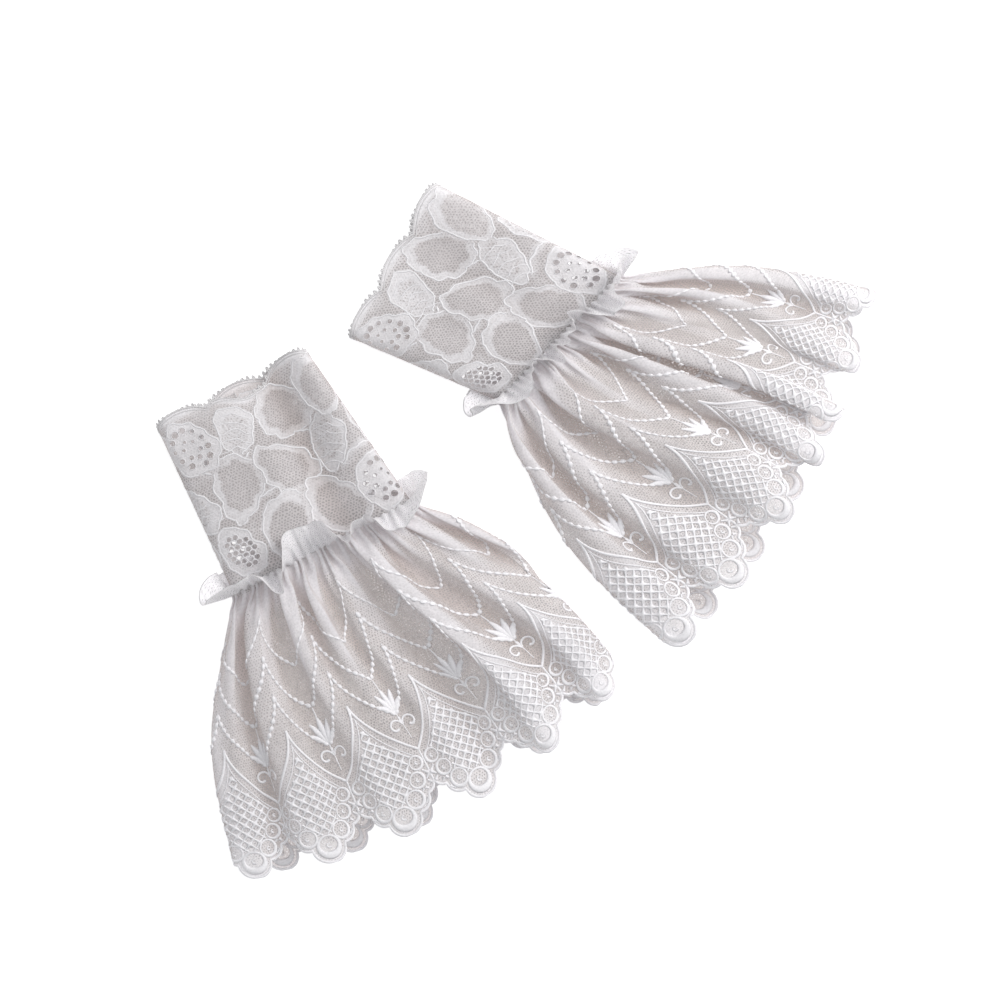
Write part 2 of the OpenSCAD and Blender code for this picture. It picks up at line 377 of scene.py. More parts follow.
@dataclass(frozen=True)
class GatherDrape:
    """The lie of the gathered tulle: the flounce below the seam and the frill above it."""

    layout: Layout
    cut: float = 420.0
    flounce_cut: float = 117.0
    frill_cut: float = 24.0
    lap: float = 2.2
    pleats: int = 54
    tucks: int = 17
    scallops: int = 12
    hem_folds: int = 12
    frill_waves: int = 19
    frill_width: float = 230.0
    steps: tuple[int, int] = (864, 130)

    def _pleat_slopes(self, share: Array) -> Array:
        """Return the slopes of the small pleats that the gathering stitches make."""
        d = self.layout.drift
        uneven = 0.9 * np.sin(TAU * 3 * share + d) + 0.6 * np.sin(TAU * 8 * share + 2 * d)
        return np.sin(TAU * self.pleats * share + uneven) * (1 + 0.25 * np.sin(TAU * 17 * share + d))

    def _tuck_slopes(self, share: Array) -> Array:
        """Return the slopes of the folds that the pleats open into."""
        d = self.layout.drift
        uneven = 1.1 * np.sin(TAU * 2 * share + d) + 0.7 * np.sin(TAU * 5 * share - d)
        return np.sin(TAU * self.tucks * share + uneven) * (1 + 0.45 * np.sin(TAU * 7 * share + d))

    def _hem_slopes(self, share: Array) -> Array:
        """Return the slopes of the large folds at the hem, which rise at the scallops' tips."""
        d = self.layout.drift
        uneven = 0.5 * np.sin(TAU * 2 * share + 1 + d) + 0.4 * np.sin(TAU * 5 * share - d)
        main = -np.sin(TAU * self.hem_folds * share + uneven)
        return main * (1 + 0.25 * np.sin(TAU * 3 * share + d)) + 0.3 * np.sin(TAU * 23 * share + 2 * uneven)

    def _spread(self, section: Section, share: Array, weight: float, scale: float) -> Array:
        """Return where the cloth comes along a row, drawn towards the places of the scallops' tips."""
        tips = (np.array(self.layout.tips) - self.layout.shift) * scale
        walked = np.interp(tips, section.v[: section.SAMPLES // 2], section.walked[: section.SAMPLES // 2])
        walked = np.append(walked / section.length, 1 + walked[0] / section.length)
        at = np.append(np.arange(len(tips)) / self.scallops, 1.0)
        return share + weight * (np.interp(share, at, walked) - share)

    def flounce(self) -> Drape:
        """Return the drape of the flounce, whose cut starts a lap above the seam."""
        lay = self.layout
        nx, ny = self.steps
        share = np.arange(nx) / nx
        pleats, tucks, hem = self._pleat_slopes(share), self._tuck_slopes(share), self._hem_slopes(share)
        rows = np.empty((nx, ny, 3))
        for j, y in enumerate(np.linspace(0, self.flounce_cut + self.lap, ny)):
            t = max(0.0, (y - self.lap) / self.flounce_cut)
            small = 1 - ease(t / 0.20)
            middle = ease(t / 0.08) * (1 - 0.9 * ease((t - 0.2) / 0.8))
            large = ease((t - 0.02) / 0.5)
            angles = small * pleats + 0.9 * middle * tucks + large * hem
            bulge = lay.flounce_bulge * math.sin(math.pi * t ** 0.85)
            a = mix(lay.seam_flat / 2 + 0.7, lay.hem_flat / 2, t) + bulge
            thick = lay.band_thick / 2 + mix(0.8, 0.6, t)
            section = Section(a, thick, mix(2.5, 2.2, t))
            spread = self._spread(section, share, ease((t - 0.05) / 0.75), a / (lay.hem_flat / 2))
            along, stands = gathered_row(angles, self.cut, section.length, spread)
            v, z, nv, nz = section.at(along)
            lift = 1.0 - 1.0 * ease(t / 0.25)
            top = ease((nz + 0.35) / 0.7)
            stands = 5.0 * np.tanh(stands * mix(0.45, 0.75, top) / 5.0)
            z = z + thick + nz * stands + top * 1.6 * ease(t / 0.3)
            v = v + nv * stands * 0.8
            for place, half, high in lay.ridges:
                z = z + top * high * bump(share, place, half) * math.sin(math.pi * min(1.0, 0.12 + t * 0.75))
            z = settled(z + lift, 0.35, mix(0.9, 0.45, t))
            u = y - self.lap if y < self.lap else lay.flounce_length * t
            u = u + lay.hem_bow * t * (1 - np.clip(v / a, -1, 1) ** 2)
            u = u + v * math.tan(math.radians(lay.slant)) * (1 - t)
            rows[:, j] = lay.place(u, v + lay.shift * t, z)
        return Drape(rows, self.cut, self.flounce_cut + self.lap)

    def frill(self) -> Drape:
        """Return the drape of the frill, which goes up to its folded edge and down again."""
        lay = self.layout
        nx, ny = self.steps[0], 28
        share = np.arange(nx) / nx
        pleats = self._pleat_slopes(share)
        d = lay.drift
        uneven = 1.2 * np.sin(TAU * 2 * share + d) + 1.0 * np.sin(TAU * 5 * share + 1 - d)
        waves = np.sin(TAU * self.frill_waves * share + uneven) * (1 + 0.35 * np.sin(TAU * 4 * share + d))
        height = self.frill_cut / 2 * (1.0 + 0.12 * np.sin(TAU * 7 * share + 2 * d))
        lean = 42 + 14 * np.sin(TAU * 3 * share + 1.9 * d) + 12 * np.sin(TAU * 8 * share + 0.6 + d)
        for place, half, more, grown in lay.flips:
            lean = lean + more * bump(share, place, half)
            height = height + grown * bump(share, place, half)
        rows = np.empty((nx, ny, 3))
        for j, r in enumerate(np.linspace(0, 1, ny)):
            up = 1 - abs(2 * r - 1)
            inner = -0.35 * math.cos(math.pi * r)
            loose = ease(up / 0.8)
            angles = (1 - 0.7 * loose) * pleats + loose * waves
            section = Section(lay.seam_flat / 2 + 1.4, lay.band_thick / 2 + 1.4)
            along, stands = gathered_row(angles, self.frill_width, section.length)
            v, z, nv, nz = section.at(along)
            top = ease((nz + 0.25) / 0.7)
            turn = np.radians(mix(10.0, lean, top))
            stands = stands * mix(1.0, 1.35, up) * mix(0.85, 1.0, top) - inner
            off = height * up * np.sin(turn) + stands * np.cos(turn)
            u = -self.lap - height * up * np.cos(turn) + stands * np.sin(turn)
            z = settled(z + lay.band_thick / 2 + 1.0 + nz * off, 0.3, 0.5)
            v = v + nv * off
            rows[:, j] = lay.place(u + v * math.tan(math.radians(lay.slant)), v, z)
        return Drape(rows, self.frill_width, self.frill_cut)


# --------------------------------------------------------------------------------------------
# Threads and cloth
# --------------------------------------------------------------------------------------------


@dataclass
class Thread:
    """One run of thread on the flat cloth.

    Attributes:
        path: Its points, x and y, in millimetres.
        radius: Half its width at each point, in millimetres.
        closed: Whether it ends where it starts.
    """

    path: Array
    radius: Array
    closed: bool = False

    def moved(self, dx: float, dy: float = 0.0) -> "Thread":
        """Return a copy moved over the cloth."""
        return Thread(self.path + np.array([dx, dy]), self.radius, self.closed)


def thread(path: Iterable, radius: float | Array, closed: bool = False) -> Thread:
    """Return a thread through points, of one radius or one for each point."""
    points = np.array(list(path), float)
    return Thread(points, np.broadcast_to(np.asarray(radius, float), (len(points),)).copy(), closed)


def work_threads(threads: list[Thread], flatness: float, corners: int = 1,
                 rise: float = 0.0) -> bpy.types.Mesh:
    """Make threads into one flat-lying mesh.

    Args:
        threads: The runs of thread, in millimetres.
        flatness: The threads' height as a share of their width.
        corners: The bevel resolution of their round section.
        rise: How far they lie above the cloth, in millimetres.

    Returns:
        A mesh of closed tubes in millimetres on the flat cloth.
    """
    curve = bpy.data.curves.new("threads", "CURVE")
    curve.dimensions = "3D"
    curve.bevel_depth = 1.0
    curve.bevel_resolution = corners
    curve.use_fill_caps = True
    for run in threads:
        spline = curve.splines.new("POLY")
        spline.points.add(len(run.path) - 1)
        flat = np.zeros((len(run.path), 4))
        flat[:, :2], flat[:, 3] = run.path, 1.0
        spline.points.foreach_set("co", flat.ravel())
        spline.points.foreach_set("radius", run.radius)
        spline.use_cyclic_u = run.closed
    holder = bpy.data.objects.new("threads", curve)
    bpy.context.scene.collection.objects.link(holder)
    graph = bpy.context.evaluated_depsgraph_get()
    mesh = bpy.data.meshes.new_from_object(holder.evaluated_get(graph))
    bpy.data.objects.remove(holder)
    bpy.data.curves.remove(curve)
    places = np.empty(len(mesh.vertices) * 3)
    mesh.vertices.foreach_get("co", places)
    places = places.reshape(-1, 3)
    places[:, 2] = places[:, 2] * flatness + rise
    mesh.vertices.foreach_set("co", places.ravel())
    return mesh


def show(name: str, mesh: bpy.types.Mesh, finish: bpy.types.Material,
         smooth: bool = True) -> bpy.types.Object:
    """Put a finished mesh in the scene.

    Args:
        name: The piece's name.
        mesh: Its mesh, in metres in the frame.
        finish: Its material.
        smooth: Whether its faces are shaded smooth.

    Returns:
        The new object, at the origin.
    """
    mesh.name = name
    mesh.materials.clear()
    mesh.materials.append(finish)
    mesh.polygons.foreach_set("use_smooth", [smooth] * len(mesh.polygons))
    piece = bpy.data.objects.new(name, mesh)
    bpy.context.scene.collection.objects.link(piece)
    LOG.info("%s: %d faces", name, len(mesh.polygons))
    return piece


def lay_mesh(mesh: bpy.types.Mesh, drape: Drape) -> None:
    """Carry a flat mesh in millimetres onto the cuff, in metres."""
    places = np.empty(len(mesh.vertices) * 3)
    mesh.vertices.foreach_get("co", places)
    mesh.vertices.foreach_set("co", drape.lay(places.reshape(-1, 3)).ravel())
    mesh.update()


def embroider(name: str, threads: list[Thread], drape: Drape, finish: bpy.types.Material,
              flatness: float = 0.45, corners: int = 1, rise: float = 0.0) -> bpy.types.Object:
    """Work threads on the flat cloth, lay them on the cuff and show them as one piece."""
    mesh = work_threads(threads, flatness, corners, rise)
    lay_mesh(mesh, drape)
    return show(name, mesh, finish)


def cut_cloth(name: str, drape: Drape, cells: tuple[int, int], finish: bpy.types.Material,
              span: tuple[Callable[[Array], Array], Callable[[Array], Array]],
              marks: dict[str, Callable[[Array, Array], Array]] | None = None) -> bpy.types.Object:
    """Cut a sheet from flat cloth, lay it on the cuff and close it round.

    Args:
        name: The piece's name.
        drape: Where the cloth lies.
        cells: Grid cells round and down the cloth.
        finish: The cloth's material, which reads the sheet's map in millimetres.
        span: The cloth's upper and lower cut edge: y for each x, in millimetres.
        marks: Values to store at each point of the cloth, from its x and y, by name.

    Returns:
        The sheet, one layer thick.
    """
    sheet = bmesh.new()
    bmesh.ops.create_grid(sheet, x_segments=cells[0], y_segments=cells[1], size=0.5)
    unit = np.array([v.co[:2] for v in sheet.verts]) + 0.5
    x = unit[:, 0] * drape.width
    y = mix(span[0](x), span[1](x), unit[:, 1])
    chart = sheet.loops.layers.uv.new("cloth")
    flat = np.stack([x, y], axis=1).tolist()
    for face in sheet.faces:
        for loop in face.loops:
            loop[chart].uv = flat[loop.vert.index]
    for title, rule in (marks or {}).items():
        layer = sheet.verts.layers.float.new(title)
        for vert, value in zip(sheet.verts, rule(x, y).tolist()):
            vert[layer] = value
    places = drape.lay(np.stack([x, y, np.zeros_like(x)], axis=1))
    # The sheet keeps how steeply it stands and how far it lies below its surroundings; the cloth finishes
    # paint shade and highlight from them.
    tilt, hollow = (sheet.verts.layers.float.new(title) for title in ("tilt", "hollow"))
    lie = zip(sheet.verts, places.tolist(), drape.slant(x, y).tolist(), drape.hollow(x, y).tolist())
    for vert, place, slanted, sunk in lie:
        vert.co, vert[tilt], vert[hollow] = place, slanted, sunk
    bmesh.ops.remove_doubles(sheet, verts=sheet.verts, dist=1e-6)
    mesh = bpy.data.meshes.new(name)
    sheet.to_mesh(mesh)
    sheet.free()
    return show(name, mesh, finish)


# --------------------------------------------------------------------------------------------
# Finishes
# --------------------------------------------------------------------------------------------


class Graph:
    """A material's nodes, with the few joins that the finishes need."""

    def __init__(self, name: str) -> None:
        """Start an empty material.

        Args:
            name: The material's name.
        """
        self.material = bpy.data.materials.new(name)
        self.material.use_nodes = True
        self.nodes = self.material.node_tree.nodes
        self.links = self.material.node_tree.links
        self.nodes.clear()

    def add(self, kind: str, inputs: dict | None = None, **settings: object) -> bpy.types.Node:
        """Add a node, set it and join its inputs to sockets or constants."""
        node = self.nodes.new(kind)
        for key, value in settings.items():
            setattr(node, key, value)
        for key, value in (inputs or {}).items():
            if isinstance(value, bpy.types.NodeSocket):
                self.links.new(value, node.inputs[key])
            else:
                node.inputs[key].default_value = value
        return node

    def math(self, operation: str, a: object, b: object = 0.0, c: object = 0.0) -> bpy.types.NodeSocket:
        """Return the result of a sum on up to three values."""
        return self.add("ShaderNodeMath", {0: a, 1: b, 2: c}, operation=operation).outputs[0]

    def span(self, value: object, low: object, high: object, to_low: float = 0.0,
             to_high: float = 1.0) -> bpy.types.NodeSocket:
        """Return value carried smoothly from low..high to another span."""
        inputs = {"Value": value, "From Min": low, "From Max": high, "To Min": to_low, "To Max": to_high}
        return self.add("ShaderNodeMapRange", inputs, interpolation_type="SMOOTHSTEP").outputs[0]

    def waves(self, places: bpy.types.NodeSocket, x: float, y: float) -> bpy.types.NodeSocket:
        """Return the cosine of places measured along one direction, in radians a unit."""
        along = self.add("ShaderNodeVectorMath", {0: places, 1: (x, y, 0.0)}, operation="DOT_PRODUCT")
        return self.math("COSINE", along.outputs["Value"])

    def mesh_holes(self, places: bpy.types.NodeSocket, pitch: float) -> bpy.types.NodeSocket:
        """Return a field that peaks at 1 in each cell of a hexagonal net and is low on its threads."""
        k = TAU / pitch / math.cos(math.radians(30))
        total = self.waves(places, k * math.cos(math.radians(30)), k * 0.5)
        for turn in (90, 150):
            x, y = k * math.cos(math.radians(turn)), k * math.sin(math.radians(turn))
            total = self.math("ADD", total, self.waves(places, x, y))
        return self.math("MULTIPLY_ADD", total, 2 / 9, 1 / 3)


@dataclass(frozen=True)
class NetFinish:
    """A fine net, closed up where its weave is dense.

    Attributes:
        name: The material's name.
        pitch: The net's pitch, in millimetres.
        open_net: The net's field above which a cell is open, where the weave is thinnest.
        thin: Thread colour of the open net; on the lace and the tulle it is darkened as painted shade,
            standing for the shadowed inside seen through the net.
        dense: Thread colour of the dense cloth.
        gauze: How much the fine threads inside an open cell cover.
        sheen: How strongly the fibres catch light at a slant.
        tilt: How much denser and whiter the net grows where it stands on edge: partly the real net, which
            shows more threads seen edge-on, and partly painted sheen.
        crest_highlight: How much denser and whiter it is painted along the crests of its folds, a painted
            highlight.
        shade_tint: The colour of the painted shade laid where the cloth lies in a hollow, where it stands
            steeply and on faces turned downwards.
        glow: The share of its light that has come through it from behind.
    """

    name: str
    pitch: float
    open_net: float
    thin: tuple[float, float, float]
    dense: tuple[float, float, float]
    gauze: float
    sheen: float
    tilt: float
    crest_highlight: float
    shade_tint: tuple[float, float, float]
    glow: float

    def build(self) -> bpy.types.Material:
        """Return the material. It reads the map `cloth`, the marks `weave` and `hole`, and the sheet's
        `tilt` and `hollow`, from which it paints shade and highlight.
        """
        g = Graph(self.name)
        flat = g.add("ShaderNodeUVMap", uv_map="cloth").outputs[0]
        wobble = g.add("ShaderNodeTexNoise", {"Vector": flat, "Scale": 0.35, "Detail": 2.0})
        bent = g.add("ShaderNodeVectorMath", {0: wobble.outputs["Color"], 1: (2.2, 2.2, 0.0), 2: flat},
                     operation="MULTIPLY_ADD").outputs[0]
        drawn = g.add("ShaderNodeAttribute", attribute_name="weave").outputs["Fac"]
        tilt = g.add("ShaderNodeAttribute", attribute_name="tilt").outputs["Fac"]
        sunk = g.add("ShaderNodeAttribute", attribute_name="hollow").outputs["Fac"]
        # Painted highlight: the net is made denser and whiter where the cloth stands above its surroundings,
        # along the crests of its folds.
        crest = g.span(sunk, -0.2, -2.4, 0.0, self.crest_highlight)
        # Where the cloth stands on edge the net is made denser and whiter: partly the real net seen edge-on,
        # partly painted sheen.
        weave = g.math("MAXIMUM", g.math("ADD", drawn, crest), g.math("MULTIPLY", tilt, self.tilt))
        weave = g.math("MINIMUM", weave, 1.0)
        hole = g.add("ShaderNodeAttribute", attribute_name="hole").outputs["Fac"]
        cell = g.mesh_holes(bent, self.pitch)
        closed = g.math("MULTIPLY_ADD", weave, 1.14 - self.open_net, self.open_net)
        opening = g.span(cell, g.math("SUBTRACT", closed, 0.12), g.math("ADD", closed, 0.12))
        covered = g.math("SUBTRACT", 1.0, g.math("MULTIPLY", opening, 1.0 - self.gauze))
        alpha = g.math("MULTIPLY", covered, g.span(hole, -0.08, 0.08))
        cloud = g.add("ShaderNodeTexNoise", {"Vector": flat, "Scale": 0.09, "Detail": 3.0}).outputs["Fac"]
        tone = g.span(cloud, 0.3, 0.7, 0.94, 1.03)
        shade = g.add("ShaderNodeMix", {"Factor": weave, 6: (*self.thin, 1), 7: (*self.dense, 1)},
                      data_type="RGBA").outputs[2]
        grain = g.add("ShaderNodeTexNoise", {"Vector": flat, "Scale": 0.9, "Detail": 3.0}).outputs["Fac"]
        tone = g.math("MULTIPLY", tone, g.span(grain, 0.3, 0.7, 0.93, 1.05))
        # Painted shade in the net's cells: the colour darkens at the middle of each cell, most where the
        # weave is open.
        cell_shade = g.math("MULTIPLY", g.span(cell, 0.2, 0.9, 0.0, 0.18), g.span(weave, 0.1, 1.0, 1.0, 0.3))
        tone = g.math("MULTIPLY", tone, g.math("SUBTRACT", 1.03, cell_shade))
        # Painted shade: the colour is tinted towards the shade colour where the cloth lies below its
        # surroundings and where it stands steeply.
        low = g.math("MAXIMUM", g.span(sunk, 0.0, 2.6), g.span(tilt, 0.2, 0.95, 0.0, 0.9))
        painted_shade = g.add("ShaderNodeMix", {"Factor": low, 6: (1, 1, 1, 1),
                                       7: (*self.shade_tint, 1)}, data_type="RGBA").outputs[2]
        toned = g.add("ShaderNodeVectorMath", {0: shade, 1: painted_shade}, operation="MULTIPLY").outputs[0]
        colour = g.add("ShaderNodeVectorMath", {0: toned, "Scale": tone}, operation="SCALE").outputs[0]
        height = g.math("ADD", g.math("MULTIPLY", cell, -0.6), g.math("MULTIPLY", grain, 0.8))
        raised = g.add("ShaderNodeBump", {"Height": height, "Strength": 0.5, "Distance": 0.0002})
        skin = g.add("ShaderNodeBsdfPrincipled", {
            "Base Color": colour, "Roughness": 0.85, "Alpha": alpha, "Normal": raised.outputs[0],
            "Sheen Weight": self.sheen, "Sheen Roughness": 0.4, "Sheen Tint": (1, 1, 1, 1),
            "Specular IOR Level": 0.15})
        through = g.add("ShaderNodeBsdfTranslucent", {"Color": colour, "Normal": raised.outputs[0]})
        clear = g.add("ShaderNodeBsdfTransparent")
        glow = g.add("ShaderNodeMixShader", {0: alpha, 1: clear.outputs[0], 2: through.outputs[0]})
        cloth = g.add("ShaderNodeMixShader", {0: self.glow, 1: skin.outputs[0], 2: glow.outputs[0]})
        g.add("ShaderNodeOutputMaterial", {"Surface": cloth.outputs[0]})
        return g.material


@dataclass(frozen=True)
class ThreadFinish:
    """Embroidery thread laid in close satin stitches.

    Attributes:
        name: The material's name.
        colour: The thread's colour.
        stitch: The pitch of its stitches, in millimetres.
        sheen: How strongly the fibres catch light at a slant.
        gloss: The strength of its plain shine.
    """

    name: str
    colour: tuple[float, float, float]
    stitch: float
    sheen: float
    gloss: float

    def build(self) -> bpy.types.Material:
        """Return the material, which reads object coordinates."""
        g = Graph(self.name)
        place = g.add("ShaderNodeTexCoord").outputs["Object"]
        strands = g.add("ShaderNodeTexNoise", {"Vector": place, "Scale": 600 / self.stitch, "Detail": 2.0})
        cloud = g.add("ShaderNodeTexNoise", {"Vector": place, "Scale": 60.0, "Detail": 2.0})
        tone = g.span(cloud.outputs["Fac"], 0.3, 0.7, 0.95, 1.03)
        worn = g.math("MULTIPLY", tone, g.span(strands.outputs["Fac"], 0.25, 0.6, 0.9, 1.0))
        colour = g.add("ShaderNodeVectorMath", {0: (*self.colour,), "Scale": worn}, operation="SCALE")
        raised = g.add("ShaderNodeBump", {"Height": strands.outputs["Fac"], "Strength": 0.6,
                                          "Distance": 0.0002})
        skin = g.add("ShaderNodeBsdfPrincipled", {
            "Base Color": colour.outputs[0], "Roughness": 0.55, "Normal": raised.outputs[0],
            "Sheen Weight": self.sheen, "Sheen Roughness": 0.35, "Sheen Tint": (1, 1, 1, 1),
            "Specular IOR Level": self.gloss})
        g.add("ShaderNodeOutputMaterial", {"Surface": skin.outputs[0]})
        return g.material


class Finishes:
    """The record's finishes, each built once."""

    def __init__(self) -> None:
        """Build every material."""
        # Colour of the painted shade that the lace and the tulle take in their hollows and on their steep
        # sides.
        hollow_shade = (0.80, 0.745, 0.715)
        # The open-net colours of the lace and the tulle are greyed as painted shade of the shadowed inside
        # of the tube; their dense colours are the thread's own white.
        self.lace = NetFinish("stretch_lace", 1.25, 0.40, (0.64, 0.61, 0.61), (0.84, 0.825, 0.84),
                              0.62, 0.2, 0.3, 0.15, hollow_shade, 0.3).build()
        self.cord = ThreadFinish("lace_cord", (0.80, 0.785, 0.80), 0.5, 0.2, 0.25).build()
        # Greyed open-net colour: painted shade of the shadowed inside seen through the tulle.
        self.tulle = NetFinish("flounce_tulle", 1.25, 0.40, (0.72, 0.685, 0.675), (0.91, 0.895, 0.915),
                               0.30, 0.4, 0.7, 0.9, hollow_shade, 0.42).build()
        self.frill = NetFinish("frill_tulle", 0.9, 0.62, (0.95, 0.94, 0.955), (0.98, 0.975, 0.985),
                               0.55, 0.3, 0.6, 0.3, (0.985, 0.98, 0.975), 0.5).build()
        self.embroidery = ThreadFinish("embroidery_thread", (0.88, 0.865, 0.885), 0.5, 0.25, 0.3).build()
        # The sewing thread is greyed as painted shade, so that the picots and stitches read as shaded
        # against the white table.
        self.sewing = ThreadFinish("sewing_thread", (0.67, 0.655, 0.66), 0.35, 0.1, 0.2).build()
        self.elastic = ThreadFinish("elastic", (0.80, 0.79, 0.79), 1.0, 0.15, 0.2).build()


# --------------------------------------------------------------------------------------------
# The flounce and its embroidery
# --------------------------------------------------------------------------------------------


@dataclass(frozen=True)
class Disc:
    """A round place in one repeat of the pattern: its centre and radius, in millimetres."""

    x: float
    y: float
    r: float

    @property
    def pair(self) -> tuple["Disc", ...]:
        """Return the disc and its mirror image, or the disc alone if it is in the middle."""
        return (self,) if self.x == 0 else (self, Disc(-self.x, self.y, self.r))


@dataclass(frozen=True)
class ScallopPattern:
    """One embroidered repeat of the hem; y is 0 at its largest ring and negative towards the seam."""

    width: float = 35.0
    tip: float = 7.0
    rings: tuple[Disc, ...] = (Disc(0, 0, 5.3), Disc(7.4, -5.2, 4.2), Disc(11.4, -11.9, 3.6),
                               Disc(13.9, -18.4, 3.2))
    lobes: tuple[Disc, ...] = (Disc(0, 0, 7.0), Disc(7.6, -5.3, 5.7), Disc(12.9, -9.9, 4.7))
    notch: float = -9.6
    petal_low: float = -23.0
    petal_high: float = -51.0

    def edge(self, x: Array) -> Array:
        """Return the hem's y at x, which may lie in any repeat."""
        inside = np.mod(np.asarray(x, float) + self.width / 2, self.width) - self.width / 2
        y = np.full_like(inside, self.notch)
        for lobe in (d for one in self.lobes for d in one.pair):
            reach = np.clip(lobe.r ** 2 - (inside - lobe.x) ** 2, 0, None)
            y = np.where(reach > 0, np.maximum(y, lobe.y + np.sqrt(reach)), y)
        return y

    def petal(self, low: float, high: float, steps: int) -> Array:
        """Return the right half of a petal's side: from its low point at x 17.5 to the next one's top."""
        q = np.linspace(0, 1, steps)
        x = self.width / 2 * (1 - q) ** 1.7
        return np.stack([x, mix(low, high, q)], axis=1)

    def petal_y(self, x: Array, low: float, high: float) -> Array:
        """Return the height of a petal's side at x."""
        q = 1 - np.clip(np.abs(x) / (self.width / 2), 0, 1) ** (1 / 1.7)
        return mix(low, high, q)

    def ring_threads(self) -> list[Thread]:
        """Return the satin rings, each with the little comma in its middle."""
        made = []
        for disc in (d for one in self.rings for d in one.pair):
            big = disc.x == 0
            turn = np.linspace(0, TAU, 29 if big else 23)[:-1]
            outward = math.atan2(max(disc.y, -12) + 18, disc.x * 1.4) if disc.x else math.pi / 2
            heavy = 0.5 + 0.5 * np.cos(turn - outward)
            half = (0.42 + (1.05 if big else 0.50) * heavy ** 1.3) * disc.r / 4.6
            reach = disc.r - half
            path = np.stack([disc.x + reach * np.cos(turn), disc.y + reach * np.sin(turn)], axis=1)
            made.append(thread(path, half, closed=True))
            curl = np.linspace(0, 4.6, 9)
            size = 0.21 * disc.r * (1 - 0.1 * curl)
            at = np.array([disc.x, disc.y - (0.8 if big else 0.1)])
            comma = at + np.stack([size * np.cos(curl + 1), size * np.sin(curl + 1)], axis=1)
            made.append(thread(comma, np.linspace(0.5, 0.2, 9)))
        return made

    def edge_threads(self) -> list[Thread]:
        """Return one repeat of the satin cord along the cut edge and the thin line inside it."""
        x = np.linspace(-self.width / 2, self.width / 2, 61)
        y = self.edge(x)
        cord = thread(np.stack([x, y - 0.35], axis=1), 0.62)
        notch = np.array([[self.width / 2, self.notch], [self.width / 2, self.notch - 6],
                          [self.width / 2, self.petal_low]])
        return [cord, thread(notch, (0.5, 0.42, 0.4))]

    def petal_threads(self) -> list[Thread]:
        """Return the two plain lines and the two beaded lines of the petals."""
        made = []
        for side in (1.0, -1.0):
            flip = np.array([side, 1.0])
            made.append(thread(self.petal(self.petal_low, self.petal_high, 26) * flip, 0.58))
            inner = self.petal(self.petal_low + 4.6, self.petal_high + 6.0, 22)[1:]
            made.append(thread(inner * flip, 0.24))
            for low, high, swell in ((-39.0, -67.0, 0.72), (-56.0, -83.0, 0.80), (-74.0, -99.0, 0.52)):
                path = self.petal(low, high, 400)
                walked = np.concatenate([[0], np.cumsum(np.hypot(*np.diff(path, axis=0).T))])
                steps = np.arange(0, walked[-1], 0.42)
                beads = np.stack([np.interp(steps, walked, path[:, k]) for k in (0, 1)], axis=1)
                phase = np.mod(steps / 3.0, 1.0)
                full = np.clip(1 - ((phase - 0.5) / 0.36) ** 2, 0, None) ** 0.5
                made.append(thread(beads * flip, 0.20 + swell * full))
        return made

    def fleur_threads(self) -> list[Thread]:
        """Return the sprig in a petal: a stem, five leaves and a pair of curls."""
        x = self.width / 2
        stem = np.stack([np.full(12, x), np.linspace(-28, -55.5, 12)], axis=1)
        made = [thread(stem, np.linspace(0.2, 0.34, 12))]
        leaves = ((0, 12.0, 1.2), (24, 11.0, 1.1), (-24, 11.0, 1.1), (50, 8.4, 1.0), (-50, 8.4, 1.0))
        for lean, long, wide in leaves:
            share = np.linspace(0, 1, 12)
            bend = math.radians(lean) * (0.55 + 0.6 * share)
            dx, dy = np.sin(bend) * long / 11, -np.cos(bend) * long / 11
            leaf = np.stack([x + np.cumsum(dx), -38.5 + np.cumsum(dy)], axis=1)
            made.append(thread(leaf, 0.22 + wide * np.sin(math.pi * share ** 1.1) ** 0.8))
        for side in (1.0, -1.0):
            turn = np.linspace(0, 5.4, 22)
            size = 3.3 - 0.40 * turn
            curl = np.stack([x + side * (3.5 - size * np.cos(turn)), -34.6 - size * np.sin(turn)], axis=1)
            made.append(thread(curl, np.linspace(0.42, 0.62, 22)))
            base = np.stack([x + side * np.linspace(0.2, 0.25, 4), np.linspace(-38, -34.6, 4)], axis=1)
            made.append(thread(base, 0.34))
        return made

    def lattice_threads(self) -> list[Thread]:
        """Return the dotted lattice between the petals and the rings."""
        made = []
        pitch, half = 3.0, self.width / 2
        step = pitch / 6
        discs = [d for one in self.rings for d in one.pair]
        for side in (1.0, -1.0):
            for start in np.arange(-20, 21) * pitch * math.sqrt(2):
                along = np.arange(-90, 60, step)
                x, y = along / math.sqrt(2), start + side * along / math.sqrt(2)
                inside = np.abs(x) < half - 0.5
                inside &= y > self.petal_y(x, self.petal_low + 5.2, self.petal_high + 8.0)
                inside &= y < self.edge(x) - 1.6
                for disc in discs:
                    inside &= np.hypot(x - disc.x, y - disc.y) > disc.r + 0.1
                dots = np.abs(np.cos(math.pi * x / (pitch / math.sqrt(2) * 2))) ** 6
                radius = 0.46 + 0.58 * dots
                cuts = np.flatnonzero(np.diff(np.concatenate([[0], inside.astype(int), [0]])))
                for a, b in zip(cuts[::2], cuts[1::2]):
                    if b - a > 3:
                        made.append(thread(np.stack([x[a:b], y[a:b]], axis=1), radius[a:b]))
        return made


